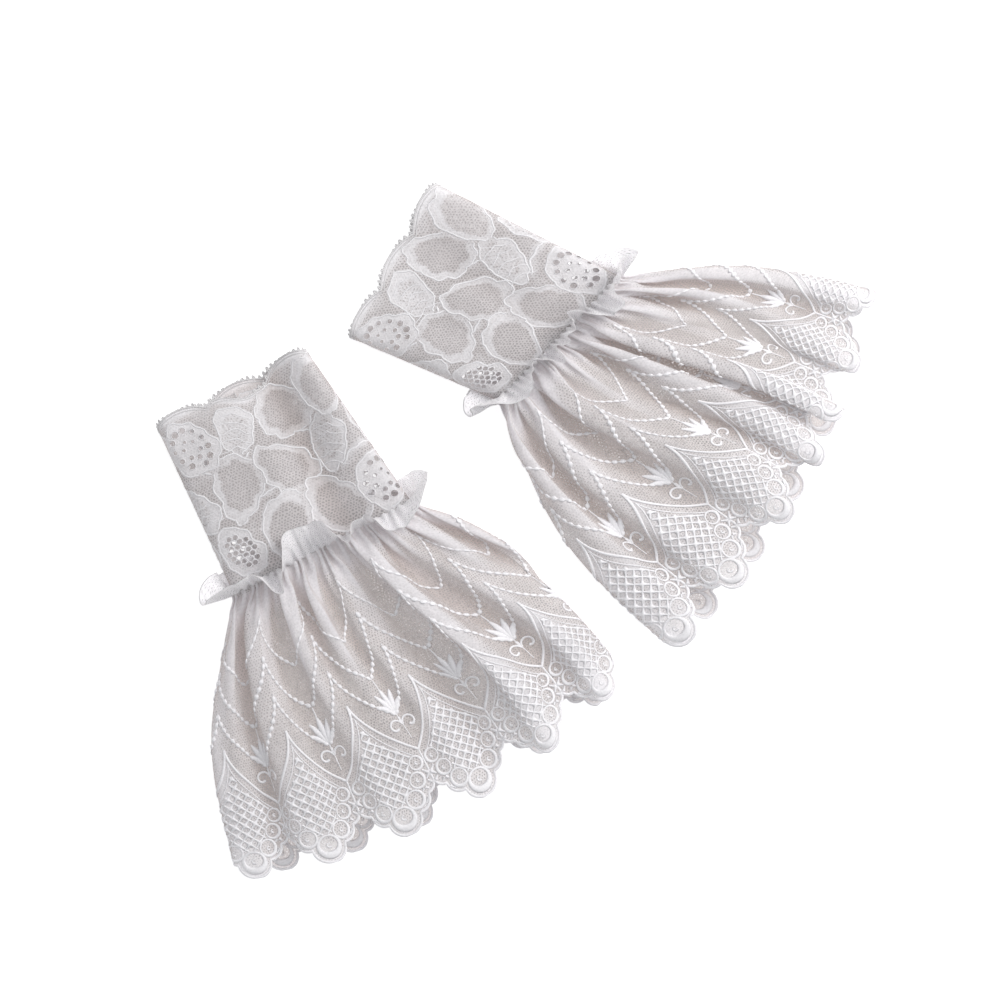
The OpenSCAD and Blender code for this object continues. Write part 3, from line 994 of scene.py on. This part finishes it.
class Flounce:
    """The gathered flounce: tulle, its embroidery, its satin hem and its side seam."""

    LAP = 2.2
    BEND = 22.0

    def __init__(self, layout: Layout, finishes: Finishes) -> None:
        """Prepare a flounce.

        Args:
            layout: How the cuff lies.
            finishes: The built materials.
        """
        self.layout, self.finishes = layout, finishes
        self.gather = GatherDrape(layout)
        self.pattern = ScallopPattern()
        self.drape = self.gather.flounce()
        self.origin = self.drape.length - self.pattern.tip
        self.pieces: list[bpy.types.Object] = []

    def repeated(self, threads: list[Thread], every: int = 12) -> list[Thread]:
        """Return threads of one repeat moved to every repeat round the hem."""
        width = self.pattern.width
        return [t.moved(i * width, self.origin) for i in range(every) for t in threads]

    def joined(self, repeat: list[Thread]) -> list[Thread]:
        """Return the hem cord as one closed thread, and the rest of the repeat as it is."""
        parts = self.repeated(repeat[:1])
        path = np.concatenate([p.path[:-1] for p in parts])
        radius = np.concatenate([p.radius[:-1] for p in parts])
        return [Thread(path, radius, False), *self.repeated(repeat[1:])]

    def tulle(self) -> bpy.types.Object:
        """Cut and lay the tulle."""
        name = f"{self.layout.name}_flounce_tulle"
        marks = {"weave": self.weave, "hole": lambda x, y: np.ones_like(x)}
        span = (lambda x: np.zeros_like(x), lambda x: self.origin + self.pattern.edge(x))
        cloth = cut_cloth(name, self.drape, (756, 100), self.finishes.tulle, span, marks)
        return cloth

    def weave(self, x: Array, y: Array) -> Array:
        """Return how dense the tulle is: closed up by stitches at the hem and by gathers at the seam."""
        low = y - self.origin - self.pattern.edge(x)
        hem = 0.55 * ease((low + 9) / 8)
        gathers = 1.0 - ease((y - 4.0) / 15.0)
        inside = np.mod(x + self.pattern.width / 2, self.pattern.width) - self.pattern.width / 2
        pattern = self.pattern
        tent = y - self.origin > pattern.petal_y(inside, pattern.petal_low, pattern.petal_high)
        broad = ease((np.sin(TAU * x / 17.5 + 1.4 * np.sin(TAU * x / 70) + y * 0.012) - 0.15) / 0.7)
        fine = ease((np.sin(TAU * x / 6.8 + 1.2 * np.sin(TAU * x / 42)) - 0.2) / 0.6)
        streaks = 0.72 * broad * (1 - ease((y - 14) / 62)) + 0.4 * fine * (1 - ease((y - 6) / 26))
        return np.clip(np.maximum(np.maximum(hem, gathers), np.where(tent, 0.32, 0.0)) + streaks, 0, 1)

    def build(self) -> list[bpy.types.Object]:
        """Make every piece of the flounce and set its embroidery on the flounce's body."""
        side, pattern = self.layout.name, self.pattern
        cloth = self.tulle()
        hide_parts(f"{side}_flounce")
        work = {
            "lattice": (self.repeated(pattern.lattice_threads()), 0.55, 0, 0.10),
            "petals": (self.repeated(pattern.petal_threads()), 0.55, 1, 0.18),
            "sprigs": (self.repeated(pattern.fleur_threads()), 0.55, 1, 0.18),
            "rings": (self.repeated(pattern.ring_threads()), 0.42, 1, 0.15),
            "scallop_cord": (self.joined(pattern.edge_threads()), 0.6, 1, 0.0),
        }
        for title, (threads, flatness, corners, rise) in work.items():
            piece = embroider(f"{side}_flounce_{title}", threads, self.drape, self.finishes.embroidery,
                              flatness, corners, rise)
            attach(piece, f"{side}_cuff_flounce")
            self.pieces.append(piece)
        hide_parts(f"{side}_scallop_edging")
        seam = self.side_seam()
        for piece in (cloth, seam):
            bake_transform(piece)
        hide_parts(f"{side}_flounce_side_seam")
        return [cloth, seam, *self.pieces]

    def side_seam(self) -> bpy.types.Object:
        """Sew the overlocked seam that closes the tulle, inside the lower layer."""
        at, low = 0.76 * self.drape.width, self.origin + self.pattern.notch - 3
        threads = overlock(at, self.LAP + 3, low)
        piece = embroider(f"{self.layout.name}_flounce_overlock", threads, self.drape, self.finishes.sewing,
                          0.8, 1, -0.5)
        return piece or piece


def overlock(x: float, top: float, low: float) -> list[Thread]:
    """Return overlocked stitches down a seam at x: a zigzag between two straight rows."""
    y = np.arange(top, low, 0.8)
    swing = np.where(np.arange(len(y)) % 2, 1.3, -1.3)
    down = np.linspace(top, low, 24)
    rows = [thread(np.stack([np.full(24, x + dx), down], axis=1), 0.26) for dx in (-1.3, 1.3)]
    return [thread(np.stack([x + swing, y], axis=1), 0.24), *rows]


# --------------------------------------------------------------------------------------------
# The wrist band's lace
# --------------------------------------------------------------------------------------------


def runs_of(shown: Array) -> list[tuple[int, int]]:
    """Return where each unbroken run of true values starts and ends."""
    cuts = np.flatnonzero(np.diff(np.concatenate([[0], shown.astype(int), [0]])))
    return list(zip(cuts[::2].tolist(), cuts[1::2].tolist()))


class Kind(Enum):
    """What fills a motif of the band's lace."""

    PETAL = "petal"
    LEAF = "leaf"
    EYELETS = "eyelets"
    COMB = "comb"


@dataclass(frozen=True)
class Motif:
    """One outlined shape in the band's lace, in millimetres and degrees."""

    x: float
    y: float
    long: float
    wide: float
    turn: float
    kind: Kind = Kind.PETAL
    point: float = 0.35

    def local(self, x: Array, y: Array) -> tuple[Array, Array]:
        """Return x and y measured along and across the motif."""
        t = math.radians(self.turn)
        dx, dy = x - self.x, y - self.y
        return dx * math.cos(t) + dy * math.sin(t), -dx * math.sin(t) + dy * math.cos(t)

    def ring(self, inset: float, steps: int = 48) -> Array:
        """Return its outline, an egg with a blunter and a sharper end, drawn in by inset."""
        turn = np.linspace(0, TAU, steps + 1)[:-1]
        a, b = self.long / 2 - inset, self.wide / 2 - inset
        waver = self.waver(turn)
        along = a * np.cos(turn) * waver
        across = b * np.sin(turn) * (1 - self.point * np.cos(turn) * 0.8) * waver
        t = math.radians(self.turn)
        return np.stack([self.x + along * math.cos(t) - across * math.sin(t),
                         self.y + along * math.sin(t) + across * math.cos(t)], axis=1)

    def waver(self, turn: Array) -> Array:
        """Return how the outline swells and shrinks round the motif."""
        lobes = np.abs(np.cos(turn * round(self.long / 7.5)))
        return 0.94 + 0.10 * lobes + 0.04 * np.sin(3 * turn + self.x) + 0.03 * np.sin(2 * turn + self.y)

    def depth(self, x: Array, y: Array) -> Array:
        """Return how far inside its outline x and y lie, negative outside."""
        along, across = self.local(x, y)
        a, b = self.long / 2, self.wide / 2
        taper = 1 - self.point * 0.8 * np.clip(along / a, -1, 1)
        out = np.hypot(along / a, across / (b * taper))
        turn = np.arctan2(across / (b * taper), along / a)
        return (1 - out / self.waver(turn)) * (a * b) ** 0.5


@dataclass(frozen=True)
class LacePattern:
    """The band's lace: one drawing, 74 mm wide, used twice round the cuff."""

    width: float = 74.0
    scallops: int = 6
    scallop_depth: float = 4.0
    picot_pitch: float = 2.18
    ribbon: float = 2.9
    length: float = 80.0
    lean: float = 20.0
    first_row: float = 0.72
    spare_rows: float = 0.4
    stem_rise: float = 7.0
    rows: tuple[tuple[Kind, ...], ...] = (
        (Kind.EYELETS, Kind.LEAF, Kind.PETAL, Kind.PETAL),
        (Kind.PETAL, Kind.PETAL, Kind.LEAF, Kind.LEAF),
        (Kind.COMB, Kind.PETAL, Kind.PETAL, Kind.EYELETS),
    )

    def spot(self, row: int, column: int) -> tuple[float, float]:
        """Return a motif's centre: the rows share the length, and each is shifted half a motif."""
        pitch = self.width / len(self.rows[row])
        x = -self.width / 2 + pitch * (column + 0.5 + 0.5 * (row % 2))
        return x, self.length * (row + self.first_row) / (len(self.rows) + self.spare_rows)

    @property
    def motifs(self) -> tuple[Motif, ...]:
        """The drawing's motifs, laid in staggered rows, with the ones drawn on top last."""
        shapes = {Kind.LEAF: (25, 14, 0.3), Kind.PETAL: (29, 19, 0.35),
                  Kind.EYELETS: (26, 19, 0.1), Kind.COMB: (23, 15, 0.1)}
        laid = []
        for row, kinds in enumerate(self.rows):
            for column, kind in enumerate(kinds):
                x, y = self.spot(row, column)
                side = 1 if (row + column) % 2 else -1
                long, wide, point = shapes[kind]
                laid.append(Motif(x, y, long, wide, 90 + side * self.lean, kind, side * point))
        return tuple(sorted(laid, key=lambda motif: list(shapes).index(motif.kind)))

    @property
    def sprays(self) -> tuple[tuple[float, float, float, float, float], ...]:
        """The curved stems between the motifs, one from each motif to the next in its row."""
        stems = []
        for row, kinds in enumerate(self.rows):
            for column in range(0, len(kinds) - 1, 2):
                (x0, y0), (x1, y1) = self.spot(row, column), self.spot(row, column + 1)
                rise = self.length / self.stem_rise
                stems.append((x0, y0 + rise, x1, y1 + rise, 5 if row % 2 else -5))
        return tuple(stems)

    def near(self, x: Array, motif: Motif) -> Array:
        """Return x in the repeat that lies nearest to a motif."""
        return motif.x + np.mod(x - motif.x + self.width / 2, self.width) - self.width / 2

    def top(self, x: Array, cut: float) -> Array:
        """Return the scalloped upper edge's y at x."""
        return self.scallop_depth * (1 - np.abs(np.sin(math.pi * self.scallops * x / cut)) ** 0.85) + 0.2

    def eyelets(self, motif: Motif) -> Array:
        """Return the centres and radii of the holes in a motif."""
        if motif.kind is Kind.COMB:
            spots = [(i * 2.35 + (j % 2) * 1.18, j * 2.05) for i in range(-4, 5) for j in range(-3, 4)]
            a, b = motif.long / 2 - 3, motif.wide / 2 - 2.6
            spots = [(u, v) for u, v in spots if math.hypot(u / a, v / b) < 1]
            local = np.array([(u, v, 0.98) for u, v in spots])
        else:
            a, b = motif.long / 2, motif.wide / 2
            outer = [(a * 0.66 * math.cos(t), b * 0.64 * math.sin(t), 1.15 + 0.25 * math.sin(t * 2.5))
                     for t in np.linspace(0.9, 0.9 + TAU * 0.86, 11)]
            inner = [(a * 0.33 * math.cos(t) + 0.6, b * 0.30 * math.sin(t), 0.85 + 0.2 * math.cos(t))
                     for t in np.linspace(0, TAU, 7)[:-1]]
            local = np.array(outer + inner)
        t = math.radians(motif.turn)
        x = motif.x + local[:, 0] * math.cos(t) - local[:, 1] * math.sin(t)
        y = motif.y + local[:, 0] * math.sin(t) + local[:, 1] * math.cos(t)
        return np.stack([x, y, local[:, 2]], axis=1)

    def wander(self, x: Array, y: Array) -> Array:
        """Return the small waver of the drawing's lines at x and y, in millimetres."""
        k = TAU / self.width
        dx = 0.42 * np.sin(9 * k * x + 0.6 * y) + 0.18 * np.sin(31 * k * x - 1.9 * y)
        dy = 0.42 * np.sin(8 * k * x - 0.7 * y + 1) + 0.18 * np.sin(26 * k * x + 2.1 * y)
        return np.stack([dx, dy], axis=-1)

    def weave(self, x: Array, y: Array) -> Array:
        """Return how dense the lace is at x and y, from 0 to 1. Later motifs lie over earlier ones."""
        edge = 1 - ease((y - 2.4) / 3.0)
        x, y = (np.stack([x, y], axis=-1) + self.wander(x, y)).T
        value = 0.30 + 0.22 * np.sin(x * 0.33 + 1.4 * np.sin(y * 0.16)) * np.cos(y * 0.27)
        for run in self.spray_paths():
            x0 = run[:, 0].min()
            near = x0 - 4 + np.mod(x - x0 + 4, self.width)
            gap = np.min(np.hypot(near[:, None] - run[None, ::3, 0], y[:, None] - run[None, ::3, 1]), axis=1)
            value = np.maximum(value, 0.9 * bump(gap, 0.0, 1.9))
        for motif in self.motifs:
            nx = self.near(x, motif)
            depth = motif.depth(nx, y)
            along, across = motif.local(nx, y)
            round_it = np.arctan2(across / motif.wide, along / motif.long)
            lobes = 0.45 * np.abs(np.sin(round_it * round(0.42 * (motif.long + motif.wide))))
            ribbon = self.ribbon * (1.0 + 0.3 * np.cos(round_it - motif.x)) + lobes
            fill = {Kind.PETAL: 0.10, Kind.LEAF: 0.55, Kind.EYELETS: 0.86, Kind.COMB: 0.80}[motif.kind]
            if motif.kind is Kind.LEAF:
                vein = np.abs(np.sin((along + 1.1 * np.abs(across)) * 1.5))
                fill = fill + 0.4 * ease((vein - 0.45) / 0.4) - 0.35 * ease((0.35 - vein) / 0.25)
            value = value - 0.3 * bump(depth, -0.9, 0.9) * (depth < 0.2)
            inside = ease((depth + 0.3) / 0.9)
            value = mix(value, fill - 0.25 * bump(depth, ribbon + 0.9, 0.8), inside)
            band = inside * (1 - ease((depth - ribbon + 0.5) / 1.2))
            value = np.maximum(value, band * (0.86 + 0.14 * np.sin(depth * 3.1)))
        return np.clip(np.maximum(value, edge), 0, 1)

    def hole(self, x: Array, y: Array) -> Array:
        """Return the distance from x and y to the nearest eyelet's rim, negative inside it."""
        distance = np.full_like(x, 3.0)
        for motif in self.motifs:
            if motif.kind in (Kind.EYELETS, Kind.COMB):
                nx = self.near(x, motif)
                for hx, hy, r in self.eyelets(motif):
                    distance = np.minimum(distance, np.hypot(nx - hx, y - hy) - r)
        return distance

    def spray_paths(self) -> list[Array]:
        """Return the flowing stems between the motifs, each an arc from one point to another."""
        share = np.linspace(0, 1, 31)
        made = []
        for x0, y0, x1, y1, bow in self.sprays:
            long = math.hypot(x1 - x0, y1 - y0)
            sag = bow * np.sin(math.pi * share)
            run = np.stack([mix(x0, x1, share) + sag * (y1 - y0) / long,
                            mix(y0, y1, share) - sag * (x1 - x0) / long], axis=1)
            clear = np.all([m.depth(self.near(run[:, 0], m), run[:, 1]) < 0.4 for m in self.motifs], axis=0)
            made += [run[a:b] for a, b in runs_of(clear) if b - a > 3]
        return made

    def outlines(self) -> list[Thread]:
        """Return the thick flat cords round the motifs, the veins of the leaves and the eyelets' rims."""
        made = []
        for motif in self.motifs:
            ring = motif.ring(0.5)
            shown = np.ones(len(ring), bool)
            for other in self.motifs[self.motifs.index(motif) + 1:]:
                shown &= other.depth(self.near(ring[:, 0], other), ring[:, 1]) < 0.3
            made += [thread(ring[a:b], 0.34) for a, b in runs_of(shown) if b - a > 3]
            if motif.kind is Kind.LEAF:
                t = math.radians(motif.turn)
                for k in np.arange(-0.32, 0.34, 0.16):
                    for side in (1, -1):
                        share = np.linspace(0, 1, 5)
                        along = (k + 0.10 * share) * motif.long
                        across = side * share * (motif.wide / 2 - 1.2)
                        path = np.stack([motif.x + along * math.cos(t) - across * math.sin(t),
                                         motif.y + along * math.sin(t) + across * math.cos(t)], axis=1)
                        if all(o.depth(self.near(path[2:3, 0], o), path[2:3, 1])[0] < 0
                               for o in self.motifs[self.motifs.index(motif) + 1:]):
                            made.append(thread(path, np.linspace(0.3, 0.2, 5)))
        for run in self.spray_paths():
            taper = np.sin(math.pi * np.linspace(0, 1, len(run))) ** 0.5
            made.append(thread(run, 0.15 + 0.35 * taper))
        return [Thread(t.path - self.wander(t.path[:, 0], t.path[:, 1]), t.radius, t.closed) for t in made]

    def rims(self) -> list[Thread]:
        """Return a fine cord round every eyelet."""
        made = []
        turn = np.linspace(0, TAU, 11)[:-1]
        for motif in self.motifs:
            if motif.kind in (Kind.EYELETS, Kind.COMB):
                for hx, hy, r in self.eyelets(motif):
                    ring = np.stack([hx + (r + 0.16) * np.cos(turn), hy + (r + 0.16) * np.sin(turn)], axis=1)
                    made.append(thread(ring, 0.17, closed=True))
        return made

    def picots(self, cut: float) -> list[Thread]:
        """Return the cords along the upper edge and the small loops that stand on it."""
        x = np.linspace(0, cut, 360, endpoint=False)
        cord = thread(np.stack([x, self.top(x, cut) + 0.2], axis=1), 0.42, closed=False)
        inner = thread(np.stack([x, self.top(x, cut) + 1.5], axis=1), 0.24, closed=False)
        made = [cord, inner]
        arch = np.linspace(-0.25, math.pi + 0.25, 9)
        for start in np.arange(0, cut - 0.5, self.picot_pitch):
            lx = start + self.picot_pitch * 0.5 - 0.40 * np.cos(arch)
            ly = self.top(np.full(9, start + self.picot_pitch / 2), cut) - 1.55 * np.sin(arch) + 0.15
            made.append(thread(np.stack([lx, ly], axis=1), 0.34))
        return made


class Band:
    """The stretch-lace wrist band: its lace, its raised outlines, its picots and its side seam."""

    def __init__(self, layout: Layout, finishes: Finishes) -> None:
        """Prepare a band.

        Args:
            layout: How the cuff lies.
            finishes: The built materials.
        """
        self.layout, self.finishes = layout, finishes
        self.lie = BandDrape(layout)
        self.pattern = LacePattern()
        self.drape = self.lie.drape()

    def moved(self, x: Array) -> Array:
        """Return x of the drawing for x of the cut."""
        return x - self.pattern.width / 2 - self.layout.pattern_shift

    def repeated(self, threads: list[Thread]) -> list[Thread]:
        """Return threads of the drawing moved to both its repeats."""
        start = self.pattern.width / 2 + self.layout.pattern_shift
        return [t.moved(start + i * self.pattern.width) for i in (0, 1) for t in threads]

    def build(self) -> list[bpy.types.Object]:
        """Make every piece of the band and set it on its body."""
        side, pattern, cut = self.layout.name, self.pattern, self.lie.cut
        marks = {"weave": lambda x, y: pattern.weave(self.moved(x), y),
                 "hole": lambda x, y: pattern.hole(self.moved(x), y)}
        span = (lambda x: pattern.top(x, cut), lambda x: np.full_like(x, self.drape.length))
        lace = cut_cloth(f"{side}_wrist_band_lace", self.drape, (300, 160), self.finishes.lace, span, marks)
        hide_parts(f"{side}_wrist_band")
        cords = embroider(f"{side}_band_outlines", self.repeated(pattern.outlines()), self.drape,
                          self.finishes.cord, 0.22, 1, 0.05)
        rims = embroider(f"{side}_band_eyelet_rims", self.repeated(pattern.rims()), self.drape,
                         self.finishes.cord, 0.8, 0, 0.05)
        # The picots take the greyed sewing thread, whose grey is painted shade.
        picots = embroider(f"{side}_picot_loops", pattern.picots(cut), self.drape,
                           self.finishes.sewing, 0.8, 1, 0.0)
        seam = embroider(f"{side}_band_overlock", overlock(0.76 * cut, 4, 74), self.drape,
                         self.finishes.sewing, 0.8, 1, -0.5)
        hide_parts(f"{side}_picot_edging")
        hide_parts(f"{side}_band_side_seam")
        made = [lace, cords, rims, picots, seam]
        for piece in made:
            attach(piece, f"{side}_cuff_band")
        return made


# --------------------------------------------------------------------------------------------
# The joining seam
# --------------------------------------------------------------------------------------------


class JoiningSeam:
    """What gathers the tulle to the band: the frill that heads it, its stitches and the elastic."""

    STITCHES = 32
    STITCH_INSET = 1.9
    TAPE_CORDS = (-2.4, -1.8, -1.2, -0.6, 0)

    def __init__(self, layout: Layout, finishes: Finishes) -> None:
        """Prepare a joining seam.

        Args:
            layout: How the cuff lies.
            finishes: The built materials.
        """
        self.layout, self.finishes = layout, finishes
        self.gather = GatherDrape(layout)

    def build(self) -> list[bpy.types.Object]:
        """Make the frill, the gathering stitches and the elastic, and set them on the band's body."""
        side = self.layout.name
        drape = self.gather.frill()
        span = (lambda x: np.zeros_like(x), lambda x: np.full_like(x, drape.length))

        def weave(x: Array, y: Array) -> Array:
            """Return how dense the frill is: closed up along its stitched middle."""
            return 0.3 + 0.7 * bump(y, drape.length / 2, 0.9) + 0.25 * np.sin(TAU * x / 3.3) ** 2

        marks = {"weave": weave, "hole": lambda x, y: np.ones_like(x)}
        frill = cut_cloth(f"{side}_frill_tulle", drape, (720, 26), self.finishes.frill, span, marks)
        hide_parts(f"{side}_heading_frill")
        outer = BandDrape(self.layout).drape(off=1.3)
        step = outer.width / self.STITCHES
        y = self.layout.band_length - self.STITCH_INSET
        runs = []
        swell = 0.2 + 0.12 * np.cos(np.linspace(-1.4, 1.4, 7))
        for i in range(self.STITCHES):
            x = (i + 0.5) * step + np.linspace(-1.5, 1.5, 7)
            runs.append(thread(np.stack([x, y + 0.15 * np.cos(x * 2)], axis=1), swell))
        stitches = embroider(f"{side}_gathering_thread", runs, outer, self.finishes.sewing, 0.9, 1, 0.2)
        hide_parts(f"{side}_gathering_stitches")
        inner = BandDrape(self.layout).drape(off=-0.9)
        x = np.linspace(0, inner.width, 220, endpoint=False)
        cords = [thread(np.stack([x, np.full_like(x, y + dy)], axis=1), 0.36) for dy in self.TAPE_CORDS]
        elastic = embroider(f"{side}_elastic_tape", cords, inner, self.finishes.elastic, 0.9, 1, 0.0)
        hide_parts(f"{side}_joining_elastic")
        for piece in (frill, stitches, elastic):
            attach(piece, f"{side}_cuff_band")
        return [frill, stitches, elastic]


# --------------------------------------------------------------------------------------------
# The studio
# --------------------------------------------------------------------------------------------


@dataclass(frozen=True)
class Lamp:
    """One large soft light."""

    name: str
    place: tuple[float, float, float]
    size: float
    power: float
    colour: tuple[float, float, float] = (1.0, 1.0, 1.0)

    def build(self, target: Vector) -> None:
        """Hang the light and point it at the target."""
        light = bpy.data.lights.new(self.name, "AREA")
        light.shape = "DISK"
        light.size = self.size
        light.energy = self.power
        light.color = self.colour
        holder = bpy.data.objects.new(self.name, light)
        holder.location = self.place
        holder.rotation_euler = (target - holder.location).to_track_quat("-Z", "Y").to_euler()
        bpy.context.scene.collection.objects.link(holder)


class Studio:
    """A white table under soft light, seen from straight above."""

    MIDDLE = Vector((-0.0060, 0.01225, 0.0))
    SPAN = 0.415
    LENS = 100.0
    LAMPS = (
        Lamp("key", (0.62, 0.58, 0.66), 0.6, 7.2, (1.0, 0.985, 0.975)),
        Lamp("fill", (0.25, 0.45, 1.2), 1.0, 4.0, (0.97, 0.98, 1.0)),
    )

    def build(self) -> None:
        """Make the camera, the table and the lights."""
        scene = bpy.context.scene
        data = bpy.data.cameras.new("camera")
        data.lens = self.LENS
        data.sensor_width = 36.0
        data.clip_end = 10
        camera = bpy.data.objects.new("camera", data)
        camera.location = self.MIDDLE + Vector((0, 0, self.SPAN * self.LENS / data.sensor_width))
        scene.collection.objects.link(camera)
        scene.camera = camera
        table = bmesh.new()
        bmesh.ops.create_grid(table, x_segments=1, y_segments=1, size=3.0)
        mesh = bpy.data.meshes.new("table")
        table.to_mesh(mesh)
        table.free()
        floor = show("table", mesh, self.table_finish(), smooth=False)
        for lamp in self.LAMPS:
            lamp.build(self.MIDDLE)
        world = bpy.data.worlds.new("world")
        world.use_nodes = True
        world.node_tree.nodes["Background"].inputs["Color"].default_value = (0.97, 0.985, 1.0, 1)
        world.node_tree.nodes["Background"].inputs["Strength"].default_value = 0.50
        scene.world = world
        scene.view_settings.view_transform = "Standard"
        scene.cycles.transparent_max_bounces = 32

    def table_finish(self) -> bpy.types.Material:
        """Return the table's white, slightly glowing finish."""
        g = Graph("table")
        skin = g.add("ShaderNodeBsdfPrincipled", {
            "Base Color": (0.86, 0.86, 0.86, 1), "Roughness": 0.9, "Specular IOR Level": 0.1,
            "Emission Color": (1, 1, 1, 1), "Emission Strength": 0.55})
        g.add("ShaderNodeOutputMaterial", {"Surface": skin.outputs[0]})
        return g.material


class Cuff:
    """One whole cuff: its band, its joining seam and its flounce."""

    def __init__(self, layout: Layout, finishes: Finishes) -> None:
        """Prepare a cuff.

        Args:
            layout: How the cuff lies.
            finishes: The built materials.
        """
        self.parts = (Band(layout, finishes), Flounce(layout, finishes), JoiningSeam(layout, finishes))

    def build(self) -> None:
        """Make every piece of the cuff."""
        for part in self.parts:
            part.build()


def note_size() -> None:
    """Bring the scene's evaluated state up to date."""
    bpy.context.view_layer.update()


def main() -> None:
    """Build the studio and both cuffs."""
    logging.basicConfig(level=logging.INFO, format="%(name)s %(message)s")
    Studio().build()
    finishes = Finishes()
    for layout in (LEFT_CUFF, RIGHT_CUFF):
        Cuff(layout, finishes).build()
    note_size()


if __name__ == "__main__":
    main()
